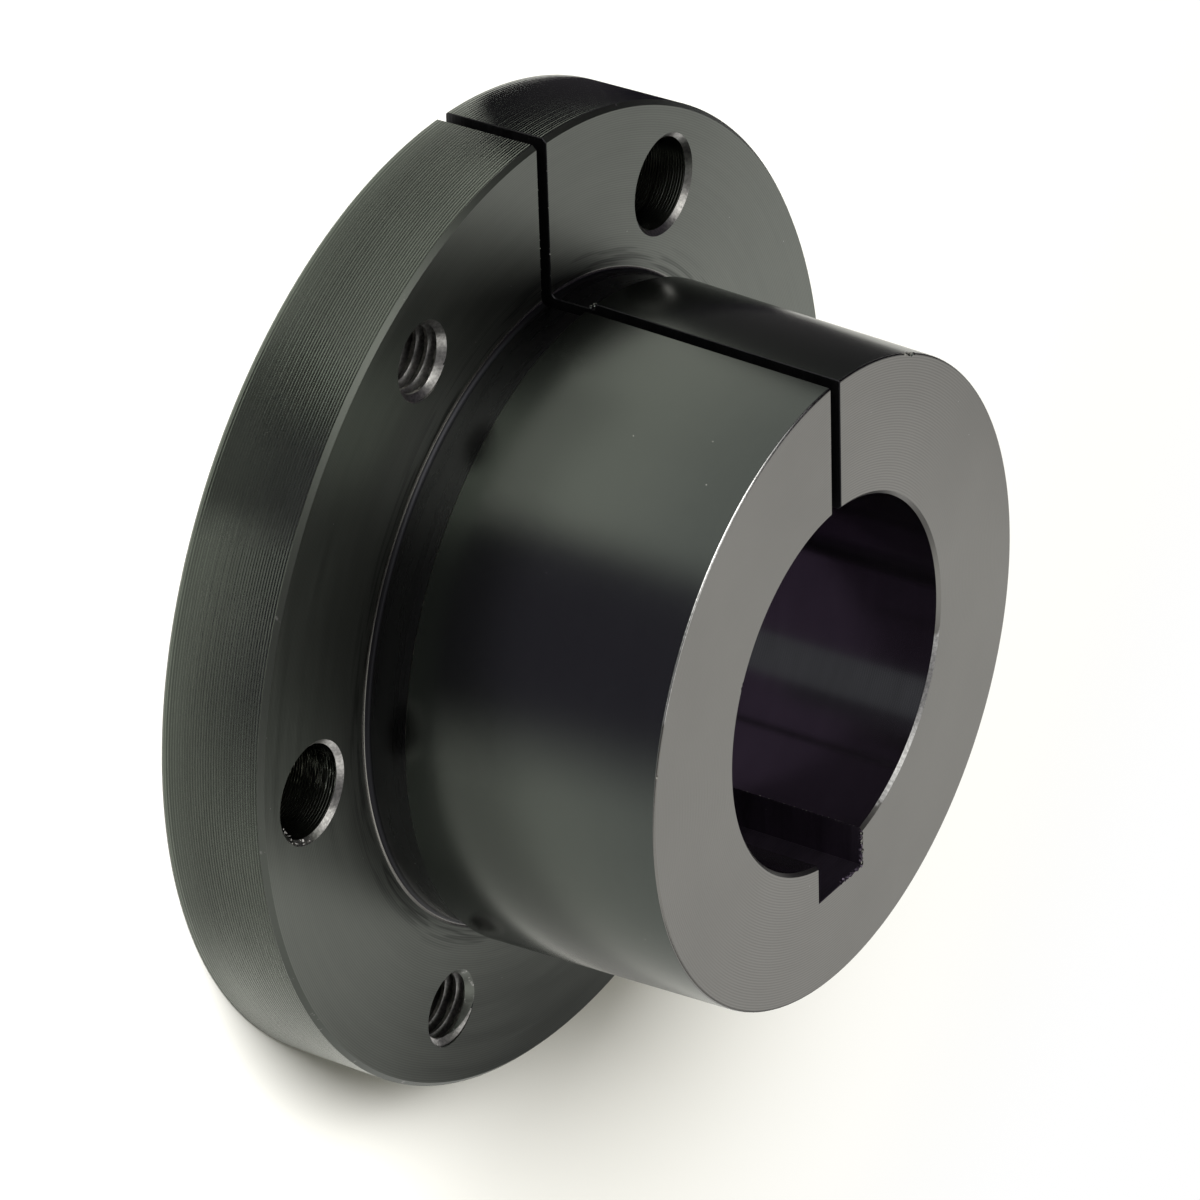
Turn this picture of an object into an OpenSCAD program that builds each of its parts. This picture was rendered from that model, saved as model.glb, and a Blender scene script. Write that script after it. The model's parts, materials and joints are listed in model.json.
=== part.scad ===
// Split taper bushing with a drilled flange, made in one piece.
// It stands on the back of its flange, with the axis along +Z and the nose on top.
// The origin is the centre of the flange's back face.
// The split opens at -Y, and the keyway is opposite it at +Y.

/* [Flange] */
// Diameter of the flange
flange_d = 117.5; // [116:0.5:130]
// Thickness of the flange
flange_t = 13.5; // [9:0.25:18]
// Chamfer on the flange's front edge
flange_front_chamfer = 0.55; // [0.2:0.05:1.5]
// Chamfer on the flange's back edge
flange_back_chamfer = 0.25; // [0.1:0.05:1.5]

/* [Tapered barrel] */
// Overall length, from the flange's back face to the nose
overall_length = 51.5; // [42:0.5:65]
// Diameter of the taper at its large end, next to the neck
taper_large_d = 79.1; // [74:0.1:82]
// Taper: how much the diameter grows for each millimetre of length
taper_rate = 0.0625; // [0.02:0.0025:0.12]
// Chamfer on the taper's large end
shoulder_chamfer = 0.15; // [0.05:0.05:0.6]
// Chamfer on the nose's outer edge
nose_chamfer = 0.3; // [0.1:0.05:1.5]

/* [Neck] */
// Length of the turned neck between the flange and the taper
neck_length = 5.8; // [3:0.1:9]
// How far the neck lies below the taper's large end, on the radius
neck_depth = 0.75; // [0.3:0.05:3]
// Fillet where the neck meets the flange
neck_fillet = 0.8; // [0.2:0.1:1.6]

/* [Bore and keyway] */
// Diameter of the shaft bore
bore_d = 44.45; // [25:0.05:52]
// Chamfer on both lips of the bore
bore_chamfer = 0.4; // [0.1:0.05:1.5]
// Width of the keyway
keyway_width = 9.5; // [5:0.1:14]
// Depth of the keyway below the crown of the bore
keyway_depth = 4.45; // [1.5:0.05:6]

/* [Split] */
// Width of the saw cut that lets the bushing close on its shaft
split_width = 1.9; // [0.8:0.1:4]

/* [Bolt holes] */
// How far outside the middle of the flange's ledge, between rim and taper, the holes' circle runs
hole_circle_shift = 0.05; // [-0.3:0.05:0.3]
// Number of plain holes, with a tapped hole after each one
plain_hole_count = 3; // [2:1:4]
// Diameter of the plain holes
plain_hole_d = 11.1; // [7:0.1:12]
// Chamfer on the mouths of the plain holes
plain_hole_chamfer = 0.6; // [0.2:0.05:1]
// Diameter of the tapped holes over the crests of the thread
tapped_hole_d = 7.9; // [6:0.1:10]
// Chamfer on the mouths of the tapped holes
tapped_hole_chamfer = 0.8; // [0.2:0.05:1.2]

/* [Hidden] */
$fn = 180;
// How far a cutter runs past the surface that it starts from
run_out = 1;
// Number of straight steps in the neck's fillet
fillet_steps = 10;
split_angle = 270;
keyway_angle = split_angle - 180;
flange_r = flange_d / 2;
bore_r = bore_d / 2;
taper_large_r = taper_large_d / 2;
shoulder_z = flange_t + neck_length;
// All the holes lie on one circle, near the middle of the ledge that the hub seats over
bolt_circle_r = (flange_r + taper_large_r) / 2 + hole_circle_shift;
neck_r = taper_large_r - neck_depth;
nose_r = taper_large_r - (overall_length - shoulder_z) * taper_rate / 2;
hole_pitch = 360 / plain_hole_count;
// The split runs midway between a plain hole and the tapped hole after it
first_plain_angle = split_angle - hole_pitch / 4;
first_tapped_angle = split_angle + hole_pitch / 4;

// Points of the fillet's quarter circle, from the flange's face up to the neck
function neck_fillet_points() = [
    for (step = [0 : fillet_steps])
        let (turn = 270 - 90 * step / fillet_steps)
        [neck_r + neck_fillet + neck_fillet * cos(turn), flange_t + neck_fillet + neck_fillet * sin(turn)]
];

// Half section of the turned blank, with the radius along X and the height along Y
module blank_section() {
    polygon(concat(
        [
            [bore_r + bore_chamfer, 0],
            [flange_r - flange_back_chamfer, 0],
            [flange_r, flange_back_chamfer],
            [flange_r, flange_t - flange_front_chamfer],
            [flange_r - flange_front_chamfer, flange_t]
        ],
        neck_fillet_points(),
        [
            [neck_r, shoulder_z],
            [taper_large_r - shoulder_chamfer, shoulder_z],
            [taper_large_r, shoulder_z + shoulder_chamfer],
            [nose_r, overall_length - nose_chamfer],
            [nose_r - nose_chamfer, overall_length],
            [bore_r + bore_chamfer, overall_length],
            [bore_r, overall_length - bore_chamfer],
            [bore_r, bore_chamfer]
        ]
    ));
}

module turned_blank() {
    rotate_extrude() blank_section();
}

// Saw cut through one wall, from the axis out past the flange
module split() {
    rotate([0, 0, split_angle])
        translate([0, -split_width / 2, -run_out])
            cube([flange_r + run_out, split_width, overall_length + 2 * run_out]);
}

// Square-cornered slot for the key, from the axis out to its floor
module keyway() {
    rotate([0, 0, keyway_angle])
        translate([0, -keyway_width / 2, -run_out])
            cube([bore_r + keyway_depth, keyway_width, overall_length + 2 * run_out]);
}

// Cutter for one hole through the flange, with a chamfer at each mouth
module flange_hole(hole_d, chamfer) {
    mouth_r = hole_d / 2 + chamfer;
    translate([0, 0, -run_out]) cylinder(d = hole_d, h = flange_t + 2 * run_out);
    translate([0, 0, -run_out]) cylinder(r1 = mouth_r + run_out, r2 = hole_d / 2, h = chamfer + run_out);
    translate([0, 0, flange_t - chamfer])
        cylinder(r1 = hole_d / 2, r2 = mouth_r + run_out, h = chamfer + run_out);
}

// Ring of like holes on the bolt circle
module hole_ring(first_angle, hole_d, chamfer) {
    for (i = [0 : plain_hole_count - 1])
        rotate([0, 0, first_angle + i * hole_pitch])
            translate([bolt_circle_r, 0, 0])
                flange_hole(hole_d, chamfer);
}

module bushing() {
    color("#55575a")
        difference() {
            turned_blank();
            split();
            keyway();
            hole_ring(first_plain_angle, plain_hole_d, plain_hole_chamfer);
            hole_ring(first_tapped_angle, tapped_hole_d, tapped_hole_chamfer);
        }
}

bushing();
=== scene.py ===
import json
import math
import random

import bmesh
import bpy
from mathutils import Matrix, Vector


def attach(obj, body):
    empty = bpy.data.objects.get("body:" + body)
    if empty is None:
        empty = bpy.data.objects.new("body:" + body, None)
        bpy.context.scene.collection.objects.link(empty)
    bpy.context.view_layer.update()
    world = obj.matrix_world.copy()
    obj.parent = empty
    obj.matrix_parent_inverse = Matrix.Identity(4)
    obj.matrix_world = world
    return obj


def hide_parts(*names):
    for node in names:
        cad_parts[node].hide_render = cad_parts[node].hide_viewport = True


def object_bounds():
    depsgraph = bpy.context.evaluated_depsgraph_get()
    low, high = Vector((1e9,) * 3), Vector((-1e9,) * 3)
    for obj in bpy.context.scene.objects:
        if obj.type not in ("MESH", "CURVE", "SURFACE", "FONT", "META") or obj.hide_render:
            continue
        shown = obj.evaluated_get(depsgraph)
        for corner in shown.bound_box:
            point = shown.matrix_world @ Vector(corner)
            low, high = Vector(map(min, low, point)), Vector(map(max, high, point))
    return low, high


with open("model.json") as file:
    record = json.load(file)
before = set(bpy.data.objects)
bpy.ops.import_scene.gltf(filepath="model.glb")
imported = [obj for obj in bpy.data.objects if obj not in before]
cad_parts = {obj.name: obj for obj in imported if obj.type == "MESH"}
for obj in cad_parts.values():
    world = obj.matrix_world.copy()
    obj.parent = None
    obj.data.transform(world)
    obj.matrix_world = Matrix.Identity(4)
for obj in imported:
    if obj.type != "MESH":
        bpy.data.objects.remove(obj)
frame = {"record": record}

bl_info = {
    "name": "Flanged Split Bushing",
    "version": (1, 0, 0),
    "blender": (4, 5, 0),
    "location": "3D View > Sidebar > Bushing",
    "description": "Machines a flanged split taper bushing in dark steel and sets up the studio round it",
    "category": "Object",
}

MM = 0.001
CAD_LOW, CAD_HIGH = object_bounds()
MOUNTS = {mount["name"]: mount["dims"] for mount in frame["record"]["mounts"]}
ORIGIN = Vector((0, 0, 0))
UP = Vector((0, 0, 1))

# Steps in one turn of each round shape
TURN_STEPS = 240
HOLE_STEPS = 72
THREAD_STEPS = 48
FILLET_STEPS = 8
EDGE_STEPS = 4
# How far a cutter runs past the surface that it starts from
RUN_OUT = 1 * MM
# Width of the narrow ring that keeps the shading of a flat face flat beside a fillet
SUPPORT_RING = 0.1 * MM
# Corners closer than this are the same corner
WELD = 0.001 * MM
# Corners sharper than this stay sharp in the shading
SHARP_ANGLE = math.radians(25)
# How far a face may lie from its nominal place and still count as part of a surface
PLACE_TOLERANCE = 0.06 * MM
# The same for the flange's front face, close to which the chamfers of the holes start
FACE_TOLERANCE = 0.01 * MM
# The Z part of a normal: above the first a face is flat, and below the second it is a wall
FLAT, WALL = 0.98, 0.3
# Direction of the split, with the keyway opposite it
SPLIT_ANGLE = math.radians(270)
# Number of cutters that the dents and nicks are dealt out to
NICK_ROUNDS = 3


def mount_size(mount, name, times=1):
    """A size of one of the record's mounts, in metres"""
    return times * MM * MOUNTS[mount][name]


def distance(name, description, default):
    """A length that a user may change, in metres"""
    return bpy.props.FloatProperty(
        name=name, description=description, default=default, min=0, precision=5,
        subtype="DISTANCE", unit="LENGTH",
    )


def turn_angle(name, description, degrees):
    """An angle that a user may change"""
    return bpy.props.FloatProperty(
        name=name, description=description, default=math.radians(degrees),
        subtype="ANGLE", unit="ROTATION",
    )


def paint(name, description, default):
    """A colour that a user may change"""
    return bpy.props.FloatVectorProperty(
        name=name, description=description, default=default, size=3, min=0, max=1, subtype="COLOR",
    )


def share(name, description, default, highest=1.0):
    """A plain number from nothing up to its highest value"""
    return bpy.props.FloatProperty(
        name=name, description=description, default=default, min=0, max=highest,
    )


class BushingSizes(bpy.types.PropertyGroup):
    """Sizes of the bushing"""

    flange_diameter: distance("Flange diameter", "Diameter of the flange", CAD_HIGH.x - CAD_LOW.x)
    flange_thickness: distance("Flange thickness", "Thickness of the flange", 13.5 * MM)
    flange_front_chamfer: distance("Front chamfer", "Chamfer on the flange's front edge", 0.55 * MM)
    flange_back_chamfer: distance("Back chamfer", "Chamfer on the flange's back edge", 0.25 * MM)
    groove_pitch: distance("Groove pitch", "Height of one feed groove on the rim", 0.349 * MM)
    groove_depth: distance("Groove depth", "Depth of the feed grooves on the rim", 0.03 * MM)
    overall_length: distance("Overall length", "From the flange's back to the nose", CAD_HIGH.z - CAD_LOW.z)
    taper_large_diameter: distance("Taper diameter", "Diameter of the taper at its large end", 79.1 * MM)
    taper_rate: share("Taper rate", "Growth of the diameter for each unit of length", 0.0625)
    shoulder_chamfer: distance("Shoulder chamfer", "Chamfer on the taper's large end", 0.15 * MM)
    nose_chamfer: distance("Nose chamfer", "Chamfer on the nose's outer edge", 0.3 * MM)
    neck_length: distance("Neck length", "Length of the turned neck", 5.8 * MM)
    neck_depth: distance("Neck depth", "How far the neck lies below the taper", 0.75 * MM)
    neck_fillet: distance("Neck fillet", "Fillet where the neck meets the flange", 0.8 * MM)
    bore_diameter: distance("Bore", "Diameter of the shaft bore", mount_size("shaft_bore", "r_mm", 2))
    bore_chamfer: distance("Bore chamfer", "Chamfer on both lips of the bore", 0.4 * MM)
    keyway_width: distance("Keyway width", "Width of the keyway", 9.5 * MM)
    keyway_depth: distance("Keyway depth", "Depth of the keyway below the bore", 4.45 * MM)
    split_width: distance("Split width", "Width of the saw cut", 1.9 * MM)
    edge_break: distance("Edge break", "Broken edge along the saw cut and the keyway", 0.08 * MM)
    hole_circle: distance("Hole circle", "Circle of the flange holes", mount_size("plain_holes", "pcd_mm"))
    plain_hole: distance(
        "Plain hole", "Diameter of the plain holes", mount_size("plain_holes", "hole_r_mm", 2),
    )
    plain_hole_chamfer: distance("Plain chamfer", "Chamfer on the plain holes", 0.6 * MM)
    tapped_hole: distance(
        "Tapped hole", "Diameter over the thread's crests", mount_size("tapped_holes", "hole_r_mm", 2),
    )
    tapped_hole_chamfer: distance("Tapped chamfer", "Chamfer on the tapped holes", 0.8 * MM)
    thread_diameter: distance("Thread diameter", "Over the thread's roots", 9.525 * MM)
    thread_pitch: distance("Thread pitch", "Pitch of the thread", 1.5875 * MM)


class BushingFinish(bpy.types.PropertyGroup):
    """Colours of the bushing's steel, some of which carry painted light and shade"""

    nose_oxide: paint("Nose oxide", "Thin oxide on the nose's face", (0.214, 0.208, 0.19))
    faced_oxide: paint("Faced oxide", "Oxide on the flange's flat faces", (0.154, 0.163, 0.141))
    edge_oxide: paint("Edge oxide", "Oxide on the flange's chamfers", (0.104, 0.111, 0.096))
    rim_oxide: paint("Rim oxide", "Oxide on the rim", (0.1, 0.112, 0.097))
    taper_oxide: paint("Taper oxide", "Oxide on the taper", (0.073, 0.081, 0.073))
    # The neck's oxide is darkened further for the shade in its recess: partly painted shade
    neck_oxide_and_shade: paint("Neck oxide and shade", "Thick oxide on the neck", (0.05, 0.05, 0.052))
    # Near-black for fillet faces that look away from the light: oxide darkened into painted shade
    root_oxide_and_shade: paint("Root oxide and shade", "Black oxide in the neck's fillet", (0.02, 0.02, 0.022))
    # Bright colour for fillet faces that tilt towards the light: a painted highlight
    fillet_highlight: paint("Fillet highlight", "Line where the fillet runs into the flange", (0.31, 0.3, 0.27))
    bore_oxide: paint("Bore oxide", "Oxide in the bore and the threads", (0.265, 0.23, 0.275))
    # This colour also darkens the thread's roots and downward faces: painted shade
    sawn_oxide_and_thread_shade: paint("Sawn oxide", "Oxide in the saw cut", (0.03, 0.03, 0.032))
    broached_oxide: paint("Broached oxide", "Oxide in the keyway", (0.1, 0.082, 0.11))
    drilled: paint("Drilled steel", "Steel on the walls of the plain holes", (0.07, 0.074, 0.064))
    bare_steel: paint("Bare steel", "Steel where the oxide is worn or cut away", (0.6, 0.585, 0.55))
    # Rubbed edges, brighter than bare steel so as to stand for a glint: partly a painted highlight
    polished_edge_and_glint: paint("Polished edge and glint", "Steel on edges that are rubbed bright", (0.8, 0.79, 0.76))


class BushingStudio(bpy.types.PropertyGroup):
    """Camera, light and floor round the bushing"""

    target: bpy.props.FloatVectorProperty(
        name="Target", description="Point that the camera looks at",
        default=(1.607 * MM, -2.685 * MM, 20.538 * MM), size=3, subtype="TRANSLATION", unit="LENGTH",
    )
    camera_distance: distance("Camera distance", "From the camera to its target", 812.98 * MM)
    camera_azimuth: turn_angle("Camera azimuth", "Direction of the camera, from +X towards +Y", -35.2345)
    camera_elevation: turn_angle("Camera elevation", "Height of the camera above the horizon", 28.7692)
    camera_roll: turn_angle("Camera roll", "Turn of the camera about its own axis", 107.0015)
    lens: bpy.props.FloatProperty(
        name="Lens", description="Focal length in millimetres", default=213.1, min=1,
    )
    sensor: bpy.props.FloatProperty(
        name="Sensor", description="Sensor width in millimetres", default=36.0, min=1,
    )
    world_light: share("World light", "Strength of the even light on rough surfaces", 0.2, 10)
    floor_lift: share("Floor lift", "Glow of the floor that keeps its shadow pale", 0.0)
    key_radiance: share("Key light", "Brightness of the key lamp's face", 27.5, 60)
    key_size: distance("Key size", "Side of the key lamp", 480 * MM)
    key_distance: distance("Key distance", "From the bushing to the key lamp", 1000 * MM)
    key_azimuth: turn_angle("Key azimuth", "Direction of the key lamp, from +X towards +Y", -57)
    key_elevation: turn_angle("Key elevation", "Height of the key lamp above the horizon", 40)


def sizes():
    return bpy.context.scene.bushing_sizes


def finish():
    return bpy.context.scene.bushing_finish


def studio():
    return bpy.context.scene.bushing_studio


def place_on_circle(radius, angle, height=0.0):
    """A point at a radius and an angle about the bore's axis"""
    return Vector((radius * math.cos(angle), radius * math.sin(angle), height))


def hole_places():
    """Kind and centre of each flange hole; the split runs midway between two of them"""
    count = MOUNTS["plain_holes"]["count"]
    pitch = math.tau / count
    places = []
    for i in range(count):
        for kind, offset in (("plain", -pitch / 4), ("tapped", pitch / 4)):
            angle = SPLIT_ANGLE + offset + i * pitch
            places.append((kind, place_on_circle(sizes().hole_circle / 2, angle)))
    return places


# Section of the turned blank


def groove_layout(s):
    """Number of feed grooves that fill the rim between its chamfers, and the pitch that this gives"""
    width = s.flange_thickness - s.flange_front_chamfer - s.flange_back_chamfer
    count = round(width / s.groove_pitch)
    return count, width / count


def rim_outline(s):
    """Points up the rim, with one shallow scallop for each turn of the lathe"""
    low = s.flange_back_chamfer
    grooves, pitch = groove_layout(s)
    rim = s.flange_diameter / 2
    points = [(rim, low)]
    for i in range(grooves):
        start = low + i * pitch
        depth = s.groove_depth * (0.85 + 0.15 * math.sin(2.4 * i))
        points += [(rim - 0.74 * depth, start + 0.22 * pitch), (rim - depth, start + 0.5 * pitch)]
        points += [(rim - 0.74 * depth, start + 0.78 * pitch), (rim, start + pitch)]
    return points


def fillet_outline(s, neck):
    """Quarter circle from the flange's face up to the neck"""
    points = []
    for step in range(FILLET_STEPS + 1):
        turn = math.radians(270 - 90 * step / FILLET_STEPS)
        points.append((
            neck + s.neck_fillet * (1 + math.cos(turn)),
            s.flange_thickness + s.neck_fillet * (1 + math.sin(turn)),
        ))
    return points


def nose_edge_outline(s, nose):
    """Worn round edge between the taper and the nose's face"""
    points = []
    for step in range(EDGE_STEPS + 1):
        turn = math.radians(90 * step / EDGE_STEPS)
        points.append((
            nose - s.nose_chamfer * (1 - math.cos(turn)),
            s.overall_length - s.nose_chamfer * (1 - math.sin(turn)),
        ))
    return points


def shoulder_height(s):
    """Height at which the neck ends and the taper starts"""
    return s.flange_thickness + s.neck_length


def nose_radius(s):
    """Radius of the taper at its small end"""
    return s.taper_large_diameter / 2 - (s.overall_length - shoulder_height(s)) * s.taper_rate / 2


def half_section(s):
    """Outline of one wall of the blank, as radius and height"""
    bore, rim, large = s.bore_diameter / 2, s.flange_diameter / 2, s.taper_large_diameter / 2
    neck = large - s.neck_depth
    shoulder, nose = shoulder_height(s), nose_radius(s)
    return [
        (bore + s.bore_chamfer, 0),
        (rim - s.flange_back_chamfer, 0),
        *rim_outline(s),
        (rim - s.flange_front_chamfer, s.flange_thickness),
        (neck + s.neck_fillet + SUPPORT_RING, s.flange_thickness),
        *fillet_outline(s, neck),
        (neck, s.flange_thickness + s.neck_fillet + SUPPORT_RING),
        (neck, shoulder),
        (large - s.shoulder_chamfer, shoulder),
        (large, shoulder + s.shoulder_chamfer),
        *nose_edge_outline(s, nose),
        (nose - s.nose_chamfer - SUPPORT_RING, s.overall_length),
        (bore + s.bore_chamfer, s.overall_length),
        (bore, s.overall_length - s.bore_chamfer),
        (bore, s.bore_chamfer),
    ]


def spin_outline(points, steps, closed):
    """A bmesh of an outline of radius and height, spun once round Z"""
    bm = bmesh.new()
    corners = [bm.verts.new((radius, 0, height)) for radius, height in points]
    ends = corners[1:] + corners[:1] if closed else corners[1:]
    outline = [bm.edges.new(pair) for pair in zip(corners, ends)]
    bmesh.ops.rotate(bm, verts=corners, cent=ORIGIN, matrix=Matrix.Rotation(math.pi / steps, 3, "Z"))
    bmesh.ops.spin(
        bm, geom=corners + outline, cent=ORIGIN, axis=UP, angle=math.tau, steps=steps, use_merge=True,
    )
    bmesh.ops.remove_doubles(bm, verts=bm.verts, dist=WELD)
    bmesh.ops.recalc_face_normals(bm, faces=bm.faces)
    return bm


# Machining steps


def saw_split(bm, s):
    """Saws one wall through at -Y and breaks the edges of the cut"""
    wall = s.split_width / 2 + s.edge_break
    for side in (-1, 1):
        near = [face for face in bm.faces if face.calc_center_median().y < 0]
        edges = {edge for face in near for edge in face.edges}
        verts = {vert for face in near for vert in face.verts}
        bmesh.ops.bisect_plane(
            bm, geom=near + list(edges) + list(verts), plane_co=(side * wall, 0, 0), plane_no=(1, 0, 0),
        )
    kerf = []
    for face in bm.faces:
        middle = face.calc_center_median()
        if middle.y < 0 and abs(middle.x) < wall:
            kerf.append(face)
    bmesh.ops.delete(bm, geom=kerf, context="FACES")
    open_edges = [edge for edge in bm.edges if edge.is_boundary]
    for side in (-1, 1):
        rim = [edge for edge in open_edges if edge.verts[0].co.x * side > 0]
        cap = bmesh.ops.contextual_create(bm, geom=rim)["faces"]
        if cap[0].normal.x * side > 0:
            bmesh.ops.reverse_faces(bm, faces=cap)
        bmesh.ops.inset_region(
            bm, faces=cap, thickness=s.edge_break, depth=s.edge_break, use_even_offset=True,
        )


def keyway_cutter(s):
    """Block for the keyway, flared at both ends so that its mouths come out with broken edges"""
    flare = s.edge_break + RUN_OUT
    floor = s.bore_diameter / 2 + s.keyway_depth
    levels = [
        (-RUN_OUT, flare), (s.edge_break, 0.0),
        (s.overall_length - s.edge_break, 0.0), (s.overall_length + RUN_OUT, flare),
    ]
    bm = bmesh.new()
    bmesh.ops.create_grid(bm, x_segments=1, y_segments=1, size=0.5)
    layer = list(bm.faces)
    height, growth = levels[0]
    for vert in bm.verts:
        vert.co.x *= s.keyway_width + 2 * growth
        vert.co.y = (vert.co.y + 0.5) * (floor + growth)
        vert.co.z = height
    for (low, before), (high, after) in zip(levels, levels[1:]):
        made = bmesh.ops.extrude_face_region(bm, geom=layer)["geom"]
        if low > levels[0][0]:
            bmesh.ops.delete(bm, geom=layer, context="FACES_ONLY")
        layer = [item for item in made if isinstance(item, bmesh.types.BMFace)]
        verts = [item for item in made if isinstance(item, bmesh.types.BMVert)]
        wider = (s.keyway_width + 2 * after) / (s.keyway_width + 2 * before)
        deeper = (floor + after) / (floor + before)
        bmesh.ops.translate(bm, verts=verts, vec=(0, 0, high - low))
        bmesh.ops.scale(bm, verts=verts, vec=(wider, deeper, 1))
    bmesh.ops.recalc_face_normals(bm, faces=bm.faces)
    return bm


def plain_hole_cutter(s):
    """Drill for a plain hole, with the countersink of both mouths"""
    hole, thick = s.plain_hole / 2, s.flange_thickness
    mouth = hole + s.plain_hole_chamfer + RUN_OUT
    return spin_outline([
        (0, -RUN_OUT), (mouth, -RUN_OUT), (hole, s.plain_hole_chamfer),
        (hole, thick - s.plain_hole_chamfer), (mouth, thick + RUN_OUT), (0, thick + RUN_OUT),
    ], HOLE_STEPS, closed=False)


def countersink_cutter(s, height, up):
    """Cone for one mouth of a tapped hole; up is 1 at the front face and -1 at the back"""
    mouth = s.tapped_hole / 2 + s.tapped_hole_chamfer
    return spin_outline([
        (0, height - up * mouth), (mouth + RUN_OUT, height + up * RUN_OUT), (0, height + up * RUN_OUT),
    ], HOLE_STEPS, closed=False)


def tap_cutter(s):
    """The room that a tap leaves: a round core with a thread turning round it"""
    core, root, pitch = s.tapped_hole / 2, s.thread_diameter / 2, s.thread_pitch
    half_way = (core + root) / 2
    crest_flat, root_flat = pitch / 4, pitch / 8
    flank = (pitch - crest_flat - root_flat) / 2
    turns = math.ceil(s.flange_thickness / pitch) + 5
    bm = bmesh.new()
    outline = []
    for turn in range(turns):
        low = (turn - 2.5) * pitch
        outline += [(core, low), (core, low + crest_flat), (half_way, low + crest_flat + 0.5 * flank)]
        outline += [(root, low + crest_flat + flank), (root, low + crest_flat + flank + root_flat)]
        outline.append((half_way, low + crest_flat + 1.5 * flank + root_flat))
    outline.append((core, (turns - 2.5) * pitch))
    corners = [bm.verts.new((radius, 0, height)) for radius, height in outline]
    edges = [bm.edges.new(pair) for pair in zip(corners, corners[1:])]
    bmesh.ops.spin(
        bm, geom=corners + edges, cent=ORIGIN, axis=UP, dvec=UP * (pitch / THREAD_STEPS),
        angle=math.tau, steps=THREAD_STEPS,
    )
    bmesh.ops.remove_doubles(bm, verts=bm.verts, dist=WELD)
    bmesh.ops.holes_fill(bm, edges=[edge for edge in bm.edges if edge.is_boundary], sides=0)
    bmesh.ops.recalc_face_normals(bm, faces=bm.faces)
    return bm


def add_to(target, source, place=ORIGIN):
    """Adds one bmesh to another at a place, and frees it"""
    bmesh.ops.translate(source, verts=source.verts, vec=place)
    mesh = bpy.data.meshes.new("part")
    source.to_mesh(mesh)
    source.free()
    target.from_mesh(mesh)
    bpy.data.meshes.remove(mesh)


def object_of(bm, name):
    """A new object at the origin with a bmesh as its mesh"""
    mesh = bpy.data.meshes.new(name)
    bm.to_mesh(mesh)
    bm.free()
    made = bpy.data.objects.new(name, mesh)
    bpy.context.scene.collection.objects.link(made)
    return made


def cut_away(body, cutter):
    """Takes the cutter's room out of the body; no two shells of the cutter may overlap"""
    tool = object_of(cutter, "cutter")
    cut = body.modifiers.new("cut", "BOOLEAN")
    cut.operation = "DIFFERENCE"
    cut.solver = "EXACT"
    cut.object = tool
    shown = body.evaluated_get(bpy.context.evaluated_depsgraph_get())
    machined = bpy.data.meshes.new_from_object(shown)
    body.modifiers.clear()
    rough, body.data = body.data, machined
    bpy.data.meshes.remove(rough)
    bpy.data.meshes.remove(tool.data)


def rough_grain(size, seed):
    """A small sharp-cornered lump, with its corners pulled in by different amounts"""
    chance = random.Random(seed)
    bm = bmesh.new()
    bmesh.ops.create_icosphere(bm, subdivisions=1, radius=1.0)
    for vert in bm.verts:
        vert.co *= chance.uniform(0.6, 1.0)
    bmesh.ops.scale(bm, verts=bm.verts, vec=size)
    turn = Matrix.Rotation(chance.uniform(-0.5, 0.5), 3, (chance.uniform(-1, 1), chance.uniform(-1, 1), 1))
    bmesh.ops.rotate(bm, verts=bm.verts, cent=ORIGIN, matrix=turn)
    return bm


def nicks(s):
    """Cutters for small dents in two edges of the nose, and for the ragged edge that the broach left

    Neighbours overlap, so the grains are dealt out to several cutters, and no two in one cutter touch
    """
    chance = random.Random(11)
    cutters = [bmesh.new() for turn in range(NICK_ROUNDS)]
    top, nose, lip = s.overall_length, nose_radius(s), s.bore_diameter / 2 + 0.3 * MM
    # Radius and direction of each dent, and its half length and half depth in millimetres
    dents = [
        (nose, 243.6, 0.5, 0.4), (nose, 244.6, 0.6, 0.55), (nose, 245.7, 0.9, 0.6),
        (nose, 247.0, 0.45, 0.5), (nose, 247.9, 0.6, 0.4), (nose, 348.2, 0.45, 0.35),
        (lip, 332.4, 0.5, 0.4), (lip, 333.6, 0.45, 0.5),
    ]
    for i, (radius, degrees, length, depth) in enumerate(dents):
        grain = rough_grain((depth * MM, length * MM, 0.8 * depth * MM), 40 + i)
        angle = math.radians(degrees)
        bmesh.ops.rotate(grain, verts=grain.verts, cent=ORIGIN, matrix=Matrix.Rotation(angle, 3, "Z"))
        add_to(cutters[i % NICK_ROUNDS], grain, place_on_circle(radius - 0.05 * MM, angle, top))
    wall, floor = s.keyway_width / 2, s.bore_diameter / 2 + s.keyway_depth
    mouth, corner, middle = (-wall, 22.2 * MM, top), (-wall, floor, top), (0, floor, top)
    count = 8
    for row, (start, end) in enumerate(((mouth, corner), (corner, middle))):
        for i in range(count):
            size = [chance.uniform(0.2, 0.46) * MM for axis in range(3)]
            place = Vector(start).lerp(Vector(end), (i + chance.uniform(0.1, 0.9)) / count)
            add_to(cutters[(row * count + i) % NICK_ROUNDS], rough_grain(size, 60 + i), place)
    return cutters


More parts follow.
